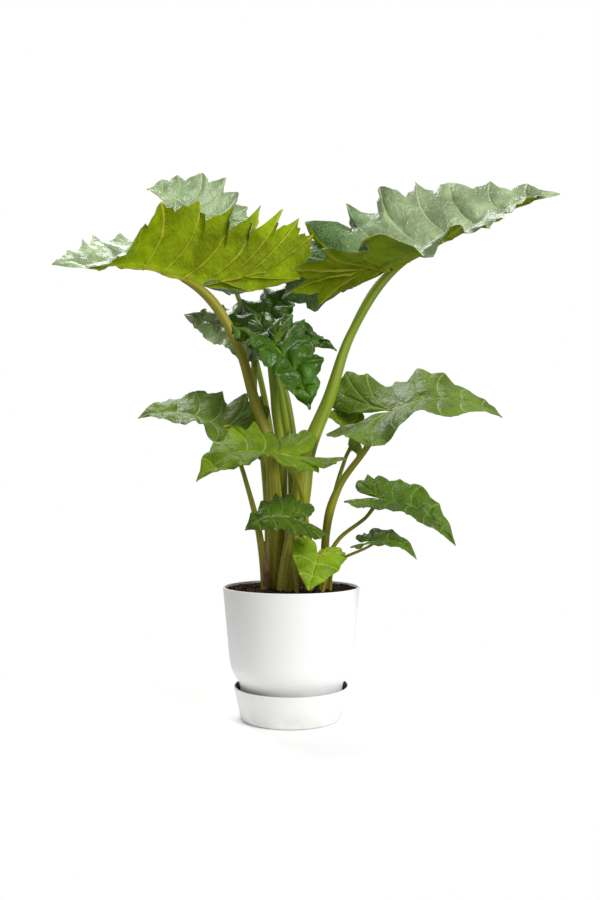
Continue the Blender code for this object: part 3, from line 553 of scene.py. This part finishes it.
def midrib_frame(leaf, x):
    """Place, forward and upward directions at x along the midrib, and behind the joint where x < 0."""
    share = np.clip(x / leaf["length"], 0, 1)
    place, forward = along(leaf["midrib"], share)
    forward = unit(forward)
    place = place + forward * np.maximum(x - leaf["length"], 0)[:, None]
    start = unit(along(leaf["midrib"], np.zeros(1))[1][0])
    face = np.asarray(leaf["face"], float)
    rise = unit(face - (face @ start) * start)
    behind = np.maximum(-x, 0)[:, None]
    bend = math.radians(leaf["lobe_drop"]) / leaf["lobe"]
    turn = bend * behind
    place = place - start * np.sin(turn) / bend - rise * (1 - np.cos(turn)) / bend
    forward = np.where(behind > 0, start * np.cos(turn) + rise * np.sin(turn), forward)
    ease = (share * share * (3 - 2 * share))[:, None]
    look = face * (1 - ease) + np.asarray(leaf.get("tip_face", leaf["face"]), float) * ease
    upward = unit(look - (look * forward).sum(axis=1, keepdims=True) * forward)
    return place, forward, upward


def blade_points(leaf, side, vein, reach, seed):
    """Points of the blade's upper side, and their distances to the nearest vein and to the rib."""
    half = 0 if side > 0 else 1
    lobe = leaf["lobe"] * leaf.get("lobe_share", (1, 1))[half]
    flat, span = flat_half(leaf, lobe, vein, reach, seed + half)
    vein_before, vein_after = (flat_half(leaf, lobe, np.floor(vein) + step, reach, seed + half)[0]
                               for step in (0, 1))
    x, y = flat.T
    fold, curl, lobe_fold, tip_fold = (math.radians(leaf.get(key, (0, 0))[half])
                                       for key in ("fold", "curl", "lobe_fold", "tip_fold"))
    place, forward, upward = midrib_frame(leaf, x)
    outward = np.cross(upward, forward) * side
    back = np.clip(-x / leaf["lobe"], 0, 1)
    ahead = np.clip(x / leaf["length"], 0, 1)
    angle = fold + lobe_fold * back * (2 - back) + tip_fold * ahead**2 + curl * 0.5 * y / leaf["half_width"]
    share = vein / vein_count(leaf)[0]
    phase = 1.3 if side > 0 else 0.0
    wave = leaf.get("wave", 0.06) * span * reach**2 * np.sin(math.tau * 3 * share + phase)
    part = vein % 1.0
    spacing = np.linalg.norm(vein_after - vein_before, axis=1)
    from_vein = np.minimum(part, 1 - part) * spacing
    near_end = np.clip(vein * 2, 0, 1) * np.clip((vein_count(leaf)[0] - vein) * 2, 0, 1)
    swell = np.sin(math.pi * reach**0.8) ** 0.8
    quilt = leaf.get("quilt", 0.10) * spacing * 4 * part * (1 - part) * swell
    ripple = math.tau * part + 1.2 * np.sin(3 * np.floor(vein) + seed)
    ruffle = leaf.get("ruffle", 0.07) * span * reach**3 * np.cos(ripple)
    up_more = wave + quilt * near_end + ruffle * near_end
    across = y * np.cos(angle) - up_more * np.sin(angle)
    up = y * np.sin(angle) + up_more * np.cos(angle)
    return place + outward * across[:, None] + upward * up[:, None], from_vein, reach * span


def leaf_pattern_group():
    """Lines of the veins and ribs, the fine net between them, and the blade's uneven green."""
    group, start, end = new_group(
        "leaf_pattern", [("Vein Width", "NodeSocketFloat"), ("Rib Width", "NodeSocketFloat")],
        [("Vein", "NodeSocketFloat"), ("Net", "NodeSocketFloat"), ("Cloud", "NodeSocketFloat"),
         ("Puckers", "NodeSocketFloat")])
    spot = add_node(group, "SeparateXYZ", {0: add_node(group, "UVMap", uv_map="UVMap").outputs[0]})
    place = add_node(group, "TexCoord").outputs["Object"]
    vein = ramp(group, spot.outputs["X"], 0.0, start.outputs["Vein Width"], 1.0, 0.0)
    rib = ramp(group, spot.outputs["Y"], 0.0, start.outputs["Rib Width"], 1.0, 0.0)
    lines = add_node(group, "Math", {0: vein, 1: rib}, operation="MAXIMUM").outputs[0]
    net = add_node(group, "TexVoronoi", {"Vector": place, "Scale": 130.0}, feature="DISTANCE_TO_EDGE")
    cloud = add_node(group, "TexNoise", {"Vector": place, "Scale": 14.0, "Detail": 5.0}).outputs["Fac"]
    group.links.new(lines, end.inputs["Vein"])
    group.links.new(ramp(group, net.outputs["Distance"], 0.0, 0.12, 1.0, 0.0), end.inputs["Net"])
    group.links.new(cloud, end.inputs["Cloud"])
    swell = add_node(group, "TexNoise", {"Vector": place, "Scale": 48.0, "Detail": 2.0}).outputs["Fac"]
    group.links.new(swell, end.inputs["Puckers"])
    return group


LEAF_PATTERN = leaf_pattern_group()


def blade_look(name, colour, vein_colour, roughness, glow, bump_up, shine, back=None):
    """Waxy leaf skin that lets light through; bump_up is +1 where veins stand up and -1 where they are sunk.

    back is a painted shade colour, and the x between which the skin goes from that painted shade to its own
    colour.
    """
    made, tree, shader = new_material(name, roughness)
    shader.inputs["Specular IOR Level"].default_value = shine
    pattern = place_group(tree, LEAF_PATTERN, {"Vein Width": 0.055, "Rib Width": 0.07})
    main = add_node(tree, "RGB").outputs[0]
    main.default_value = (*colour, 1)
    # A painted shade: a darker colour at low object x fades into the skin's own colour by high x.
    if back:
        painted_shade_colour, low, high = back
        place = add_node(tree, "TexCoord").outputs["Object"]
        across = add_node(tree, "SeparateXYZ", {0: place}).outputs["X"]
        main = mix_colour(tree, ramp(tree, across, low, high), (*painted_shade_colour, 1), main)
    darker = add_node(tree, "HueSaturation", {"Color": main, "Value": 0.55, "Saturation": 1.1}).outputs[0]
    skin = mix_colour(tree, ramp(tree, pattern.outputs["Cloud"], 0.35, 0.68), darker, main)
    paler = (*vein_colour, 1)
    netted = mix_colour(tree, ramp(tree, pattern.outputs["Net"], 0.0, 1.0, 0.0, 0.22), skin, paler)
    vein_share = 0.9 if bump_up > 0 else 0.65
    veined = mix_colour(tree, ramp(tree, pattern.outputs["Vein"], 0.0, 1.0, 0.0, vein_share), netted, paler)
    tree.links.new(veined, shader.inputs["Base Color"])
    tree.links.new(ramp(tree, pattern.outputs["Cloud"], 0.3, 0.7, roughness - 0.05, roughness + 0.10),
                   shader.inputs["Roughness"])
    lines = add_node(tree, "Math", {0: pattern.outputs["Net"], 1: 0.4, 2: pattern.outputs["Vein"]},
                     operation="MULTIPLY_ADD").outputs[0]
    puckers = add_node(tree, "Bump", {"Strength": 0.6, "Distance": 0.010,
                                      "Height": pattern.outputs["Puckers"]})
    bump = add_node(tree, "Bump", {"Strength": 0.5, "Distance": 0.0015, "Height": lines,
                                   "Normal": puckers.outputs[0]}, invert=bump_up < 0)
    tree.links.new(bump.outputs[0], shader.inputs["Normal"])
    through = add_node(tree, "BsdfTranslucent", {"Color": veined, "Normal": bump.outputs[0]})
    both = add_node(tree, "MixShader", {0: glow, 1: shader.outputs[0], 2: through.outputs[0]})
    tree.links.new(both.outputs[0], tree.nodes["Material Output"].inputs["Surface"])
    return made


def grow_leaf(name, leaf, upper, lower, seed, stalk_top=STALK_GREEN):
    """Make a leaf's stalk and blade from its stalk's route and its blade's values."""
    *points, end_radius = STALKS[name]
    x, y, z, radius = points[0]
    place, forward, upward = (rows[0] for rows in midrib_frame(leaf, np.zeros(1)))
    seat = place + forward * 1.3 * end_radius - upward * (SHEET + 0.5 * end_radius)
    into_rib = seat + forward * 3.2 * end_radius + upward * 0.25 * end_radius
    route = [(x, y, z - STALK_ROOT, radius), *points, (*seat, end_radius), (*into_rib, 0.6 * end_radius)]
    stalk_mesh = bmesh.new()
    add_tube(stalk_mesh, route, 40, 90, ribbed(seed, radius))
    bmesh.ops.recalc_face_normals(stalk_mesh, faces=stalk_mesh.faces)
    skin = stalk_look(f"{name}_stalk_skin", seed, stalk_top)
    new_piece(f"{name}_stalk", stalk_mesh, [skin], f"stalk_{name}")

    mesh = bmesh.new()
    uv = mesh.loops.layers.uv.new("UVMap")
    depth = mesh.verts.layers.float.new("depth")
    total = vein_count(leaf)[0]
    columns = total * len(COLUMNS)
    for side in (1, -1):
        def place_blade(column, row):
            whole, part = np.divmod(column, len(COLUMNS))
            return blade_points(leaf, side, whole + np.array(COLUMNS)[part], np.array(ROWS)[row], seed)[0]

        corners, flat = mapped_grid(mesh, columns, len(ROWS) - 1, place_blade)
        whole, part = np.divmod(flat[:, 0], len(COLUMNS))
        vein, reach = whole + np.array(COLUMNS)[part], np.array(ROWS)[flat[:, 1]]
        _, from_vein, from_rib = blade_points(leaf, side, vein, reach, seed)
        from_joint = np.interp(vein, vein_count(leaf)[1], (1.0, 0.0, 1.0, 0.0))
        slimmer = np.where(vein > leaf["veins"][0], 0.55, 1.0)
        rib = end_radius * np.maximum(0.06, 1 - from_joint) ** 0.8 * slimmer
        vein_rib = 0.16 * end_radius * (1 - 0.7 * reach) + 0.0003
        thick = (SHEET + rib * np.sqrt(np.clip(1 - (from_rib / (rib * 1.1)) ** 2, 0, 1))
                 + vein_rib * np.clip(1 - from_vein / 0.003, 0, 1))
        spot = {}
        for corner, thickness, a, b in zip(corners, thick, from_vein / VEIN_UNIT, from_rib / VEIN_UNIT):
            corner[depth] = thickness
            spot[corner] = (a, b)
        faces = {face for corner in corners for face in corner.link_faces}
        for face in faces:
            for loop in face.loops:
                loop[uv].uv = spot[loop.vert]
        if side > 0:
            bmesh.ops.reverse_faces(mesh, faces=list(faces))
    bmesh.ops.remove_doubles(mesh, verts=mesh.verts, dist=0.00002)
    crumple = leaf.get("crumple", 0.025) * leaf["half_width"]
    for vert in mesh.verts:
        spot = vert.co + Vector((seed, 0, 0))
        vert.co += vert.normal * crumple * (noise.noise(spot * 24) + 0.6 * noise.noise(spot * 62))
    mesh.normal_update()
    normals = {vert.co.copy().freeze(): vert.normal.copy() for vert in mesh.verts}
    made = bmesh.ops.extrude_face_region(mesh, geom=mesh.faces[:], use_keep_orig=True)["geom"]
    below = {item for item in made if isinstance(item, bmesh.types.BMVert)}
    for face in mesh.faces:
        face.material_index = 1 if all(vert in below for vert in face.verts) else 0
    for vert in below:
        vert.co -= normals[vert.co.copy().freeze()] * vert[depth]
    bmesh.ops.recalc_face_normals(mesh, faces=mesh.faces)
    new_piece(f"{name}_blade", mesh, [upper, lower], f"blade_{name}", 65)


# ---------------------------------------------------------------- high leaves
# Three leaves stand highest, on the longest stalks, and the two in front are the largest of all. Seen from
# above they are pale and shining, a pale grey-green that is partly their own and partly painted sheen, and
# the light that comes through them makes their undersides bright.
# Painted sheen: the upper skin's base colour is raised towards pale grey-green, partly its own colour and
# partly sheen painted in.
pale_and_sheen_upper = blade_look("pale_leaf_upper_painted_sheen", (0.34, 0.47, 0.22), (0.50, 0.62, 0.33), 0.40, 0.14, -1, 0.90)
bright_lower = blade_look("bright_leaf_lower", (0.36, 0.51, 0.001), (0.58, 0.56, 0.05), 0.55, 0.35, 1, 0.12)

# The right leaf's upper skin: pale with painted sheen, and its far lobe, below x 0.08 to 0.27, darkened by
# painted shade.
right_sheen_and_shade_upper = blade_look("right_leaf_upper_painted_sheen_and_shade", (0.35, 0.46, 0.23), (0.48, 0.60, 0.32), 0.36, 0.14, -1, 0.9,
                         ((0.055, 0.15, 0.006), 0.08, 0.27))

grow_leaf("left_high", dict(
    midrib=((-0.20, -0.03, 0.93), (-0.305, -0.06, 0.96), (-0.39, -0.13, 0.94), (-0.465, -0.21, 0.925)),
    length=0.34, half_width=0.178, lobe=0.23, face=(0.0, 0.15, 1.0), tip_face=(-0.3, -0.8, 0.5),
    fold=(60, 35), curl=(6, 10), lobe_fold=(10, 0), tip_fold=(-75, 0), lobe_drop=-8, shoulder=0.55,
    lobe_share=(1.0, 0.5), veins=(7, 3), teeth=0.20, ruffle=0.05, spiky=1.0),
    pale_and_sheen_upper, bright_lower, 1, STALK_OCHRE)
grow_leaf("right_high", dict(
    midrib=((0.22, -0.02, 0.97), (0.35, 0.00, 1.045), (0.485, 0.00, 1.11), (0.59, -0.02, 1.135)),
    length=0.42, half_width=0.22, lobe=0.17, face=(-0.1, -0.65, 0.78), tip_face=(-0.1, -0.7, 0.7),
    fold=(25, 30), curl=(0, 0), lobe_fold=(5, 58), lobe_drop=65, lobe_share=(1.0, 0.78), shoulder=0.2,
    veins=(7, 3), teeth=0.17, ruffle=0.07, wave=0.08, quilt=0.14, spiky=0.6),
    right_sheen_and_shade_upper, bright_lower, 2)
grow_leaf("top_back", dict(
    midrib=((-0.21, 0.13, 1.13), (-0.265, 0.10, 1.165), (-0.335, 0.07, 1.18)),
    length=0.16, half_width=0.12, lobe=0.10, face=(0.3, -0.9, 0.35), tip_face=(0.2, -0.8, 0.6),
    fold=(12, 12), lobe_drop=20, veins=(5, 2), teeth=0.13, wave=0.09, ruffle=0.07, spiky=0.0),
    pale_and_sheen_upper, bright_lower, 3)

# ---------------------------------------------------------------- leaves of the crown
# Four shorter leaves hang round the stalks in the middle of the plant. They are dark green and glossy, with
# pale ridges along their veins.
dark_upper = blade_look("dark_leaf_upper", (0.055, 0.15, 0.003), (0.13, 0.27, 0.03), 0.30, 0.12, -1, 0.34)
dark_lower = blade_look("dark_leaf_lower", (0.16, 0.28, 0.002), (0.28, 0.38, 0.02), 0.48, 0.25, 1, 0.15)
ridged_upper = blade_look("ridged_leaf_upper", (0.26, 0.36, 0.13), (0.44, 0.54, 0.27), 0.30, 0.12, -1, 0.80)

grow_leaf("centre_front", dict(
    midrib=((-0.035, -0.072, 0.788), (0.005, -0.095, 0.735), (0.04, -0.10, 0.65)),
    length=0.17, half_width=0.10, lobe=0.07, face=(0.35, -0.8, 0.6), tip_face=(0.3, -1.0, 0.2),
    fold=(10, 20), lobe_drop=30, veins=(4, 2), teeth=0.20, quilt=0.32, ruffle=0.18, crumple=0.06),
    dark_upper, dark_lower, 4)
grow_leaf("centre_right", dict(
    midrib=((-0.055, 0.0, 0.83), (0.02, -0.01, 0.82), (0.10, -0.01, 0.79)),
    length=0.155, half_width=0.065, lobe=0.045, face=(0.0, -0.6, 0.8), tip_face=(0.2, -0.6, 0.8),
    fold=(20, 0), lobe_drop=30, veins=(4, 2), teeth=0.18, quilt=0.32, ruffle=0.18, crumple=0.06),
    dark_upper, dark_lower, 5)
grow_leaf("centre_back", dict(
    midrib=((-0.070, 0.09, 0.87), (-0.02, 0.115, 0.935), (0.045, 0.12, 0.975)),
    length=0.15, half_width=0.085, lobe=0.05, face=(-0.2, -0.8, 0.6), fold=(5, 5), lobe_drop=30,
    veins=(4, 2), teeth=0.18, quilt=0.32, ruffle=0.18, crumple=0.06), dark_upper, dark_lower, 6)
grow_leaf("back_left", dict(
    midrib=((-0.115, 0.13, 0.86), (-0.18, 0.13, 0.875), (-0.255, 0.13, 0.90)),
    length=0.15, half_width=0.09, lobe=0.08, face=(0.1, -0.8, 0.5), fold=(5, 5), lobe_drop=40,
    veins=(4, 2), teeth=0.16, quilt=0.32, ruffle=0.14, crumple=0.04), ridged_upper, dark_lower, 7)

# ---------------------------------------------------------------- leaves at mid height
# Four leaves spread sideways at half height. The two large ones are dull green above, the front one is young
# and bright, and a small one is half hidden behind the right stalk.
mid_upper = blade_look("mid_leaf_upper", (0.13, 0.215, 0.018), (0.26, 0.375, 0.08), 0.44, 0.14, -1, 0.30)
young_upper = blade_look("young_leaf_upper", (0.185, 0.32, 0.001), (0.34, 0.46, 0.02), 0.44, 0.22, -1, 0.20)

grow_leaf("left_mid", dict(
    midrib=((-0.15, -0.02, 0.62), (-0.235, -0.05, 0.65), (-0.32, -0.08, 0.635)),
    length=0.18, half_width=0.11, lobe=0.095, face=(0.0, -0.35, 1.0), fold=(0, 18), curl=(-15, 15),
    lobe_fold=(-10, 50), lobe_drop=-10, veins=(5, 2), teeth=0.10, wave=0.14, ruffle=0.06, spiky=0.0),
    mid_upper, bright_lower, 8)
grow_leaf("front_mid", dict(
    midrib=((-0.03, -0.16, 0.555), (-0.105, -0.20, 0.555), (-0.18, -0.22, 0.50)),
    length=0.16, half_width=0.115, lobe=0.125, face=(0.05, -0.30, 0.95), fold=(5, 15), curl=(-10, 0),
    lobe_drop=-25, veins=(5, 2), teeth=0.14, wave=0.10, ruffle=0.07, spiky=0.0),
    young_upper, bright_lower, 9)
grow_leaf("right_mid", dict(
    midrib=((0.22, -0.02, 0.66), (0.295, -0.04, 0.68), (0.38, -0.05, 0.67), (0.45, -0.05, 0.64)),
    length=0.245, half_width=0.14, lobe=0.15, face=(0.0, -0.55, 1.0), fold=(8, 8), curl=(0, -10),
    lobe_fold=(22, 0), lobe_drop=-20, veins=(6, 2), teeth=0.07, wave=0.13, ruffle=0.035, spiky=0.0),
    mid_upper, bright_lower, 10, STALK_BROWN)
grow_leaf("right_inner", dict(
    midrib=((0.145, 0.06, 0.615), (0.115, 0.045, 0.645), (0.075, 0.03, 0.65)),
    length=0.08, half_width=0.055, lobe=0.05, face=(0.3, -0.8, 0.6), fold=(10, 10), lobe_drop=20,
    veins=(3, 2), ruffle=0.14), young_upper, dark_lower, 11)

# ---------------------------------------------------------------- low leaves
# Four small leaves grow low down in front and on the right, on thin stalks. The lowest of all has just
# opened and is a bright yellow-green heart.
heart_upper = blade_look("newest_leaf_upper", (0.25, 0.43, 0.003), (0.46, 0.60, 0.06), 0.42, 0.22, -1, 0.22)
low_upper = blade_look("low_leaf_upper", (0.08, 0.165, 0.002), (0.18, 0.30, 0.03), 0.34, 0.14, -1, 0.28)

grow_leaf("front_low", dict(
    midrib=((0.00, -0.145, 0.43), (-0.045, -0.165, 0.43), (-0.09, -0.17, 0.405)),
    length=0.10, half_width=0.07, lobe=0.07, face=(0.1, -0.55, 0.8), fold=(0, 8), lobe_drop=10,
    veins=(4, 2), teeth=0.16, quilt=0.14, ruffle=0.08), low_upper, dark_lower, 12)
grow_leaf("front_lowest", dict(
    midrib=((0.055, -0.115, 0.35), (0.045, -0.14, 0.32), (0.035, -0.150, 0.285)),
    length=0.07, half_width=0.058, lobe=0.040, face=(0.1, -1.0, 0.3), fold=(5, 5), lobe_drop=5,
    veins=(3, 2), teeth=0.08, ruffle=0.08), heart_upper, bright_lower, 13)
grow_leaf("right_low", dict(
    midrib=((0.19, -0.06, 0.465), (0.265, -0.08, 0.445), (0.34, -0.09, 0.37)),
    length=0.17, half_width=0.075, lobe=0.07, face=(-0.1, -0.6, 0.8), fold=(5, 22), lobe_drop=10,
    veins=(5, 2), teeth=0.10, ruffle=0.05, spiky=0.0), low_upper, bright_lower, 14)
grow_leaf("right_lowest", dict(
    midrib=((0.175, -0.10, 0.38), (0.21, -0.11, 0.38), (0.255, -0.12, 0.345)),
    length=0.09, half_width=0.05, lobe=0.05, face=(0.1, -0.35, 1.0), fold=(10, 10), lobe_drop=10,
    veins=(3, 2)), low_upper, bright_lower, 15)

# ---------------------------------------------------------------- dry sheath
# A dead leaf's papery sheath still stands half round the stalk of the left leaf at mid height. It is thin
# and brown, and drawn out to a point.
SHEATH_WRAP = 190 / 360
SHEATH_FROM = 0.14
SHEATH_TO = 0.42

sheath_mesh = bmesh.new()
left_points = STALKS["left_mid"][:-1]
left_route = [(*left_points[0][:2], left_points[0][2] - STALK_ROOT, left_points[0][3]), *left_points]


def sheath_point(column, row):
    """Points of the sheath: column goes round the stalk, row goes up it."""
    up = row / 40
    narrowing = 1 - up**1.5 * 0.85
    split = 0.02 * np.sin(9 * up)
    turn = 0.5 + (column / 24 - 0.5) * narrowing * SHEATH_WRAP + split
    stand = 0.0012 + 0.0006 * np.sin(column * 1.7 + 6 * up) + 0.0010 * np.abs(column / 12 - 1) ** 3
    return tube_point(left_route, turn, SHEATH_FROM + (SHEATH_TO - SHEATH_FROM) * up, stand)


mapped_grid(sheath_mesh, 24, 40, sheath_point)
bmesh.ops.recalc_face_normals(sheath_mesh, faces=sheath_mesh.faces)
bmesh.ops.solidify(sheath_mesh, geom=sheath_mesh.faces[:], thickness=0.0006)
dry_fibre = fibrous_look("dry_sheath_fibre", (0.13, 0.065, 0.025, 1), (0.36, 0.21, 0.10, 1))
new_piece("papery_sheath", sheath_mesh, [dry_fibre], "dry_sheath", 60)

# ---------------------------------------------------------------- studio
# The plant stands on a plain pale floor in soft light: a large main light high on the right in front, a
# weaker one on the left, and one from above and behind.
floor_mesh = bmesh.new()
bmesh.ops.create_grid(floor_mesh, x_segments=1, y_segments=1, size=12.0)
floor_data = bpy.data.meshes.new("studio_floor")
floor_mesh.to_mesh(floor_data)
floor_mesh.free()
floor_look, floor_tree, floor_shader = new_material("studio_paper", 0.9)
floor_shader.inputs["Base Color"].default_value = (0.95, 0.95, 0.95, 1)
floor_place = add_node(floor_tree, "TexCoord").outputs["Object"]
floor_reach = add_node(floor_tree, "VectorMath", {0: floor_place}, operation="LENGTH").outputs["Value"]
floor_clear = add_node(floor_tree, "BsdfTransparent", {"Color": (1, 1, 1, 1)})
floor_faded = add_node(floor_tree, "MixShader", {0: ramp(floor_tree, floor_reach, 0.20, 0.80),
                                                 1: floor_shader.outputs[0], 2: floor_clear.outputs[0]})
floor_tree.links.new(floor_faded.outputs[0], floor_tree.nodes["Material Output"].inputs["Surface"])
floor_data.materials.append(floor_look)
floor = bpy.data.objects.new("studio_floor", floor_data)
bpy.context.collection.objects.link(floor)

LIGHTS = {"main": ((1.9, -1.9, 1.9), 1.4, 88), "fill": ((-2.4, -1.8, 1.2), 2.0, 1),
          "back": ((-0.6, 1.2, 2.8), 1.4, 60)}
for light_name, (spot, size, power) in LIGHTS.items():
    lamp = bpy.data.lights.new(light_name, "AREA")
    lamp.energy = power
    lamp.size = size
    stand = bpy.data.objects.new(light_name, lamp)
    stand.location = spot
    stand.rotation_euler = (Vector((0, 0, 0.6)) - Vector(spot)).to_track_quat("-Z", "Y").to_euler()
    bpy.context.collection.objects.link(stand)

room = bpy.data.worlds.new("studio_room")
room.use_nodes = True
glow = room.node_tree.nodes["Background"]
glow.inputs["Color"].default_value = (1, 1, 1, 1)
glow.inputs["Strength"].default_value = 0.48
backdrop = add_node(room.node_tree, "Background", {"Color": (1, 1, 1, 1), "Strength": 1.0})
seen = add_node(room.node_tree, "LightPath").outputs["Is Camera Ray"]
shown = add_node(room.node_tree, "MixShader", {0: seen, 1: glow.outputs[0], 2: backdrop.outputs[0]})
room.node_tree.links.new(shown.outputs[0], room.node_tree.nodes["World Output"].inputs["Surface"])
bpy.context.scene.world = room
bpy.context.scene.view_settings.view_transform = "Standard"

EYE = Vector((0.0187, -1.80, 0.47))
TILT = math.radians(3.26)
camera = bpy.data.objects.new("camera", bpy.data.cameras.new("camera"))
camera.data.lens = 33.04
camera.location = EYE
camera.rotation_euler = (math.pi / 2 + TILT, 0, 0)
bpy.context.collection.objects.link(camera)
bpy.context.scene.camera = camera
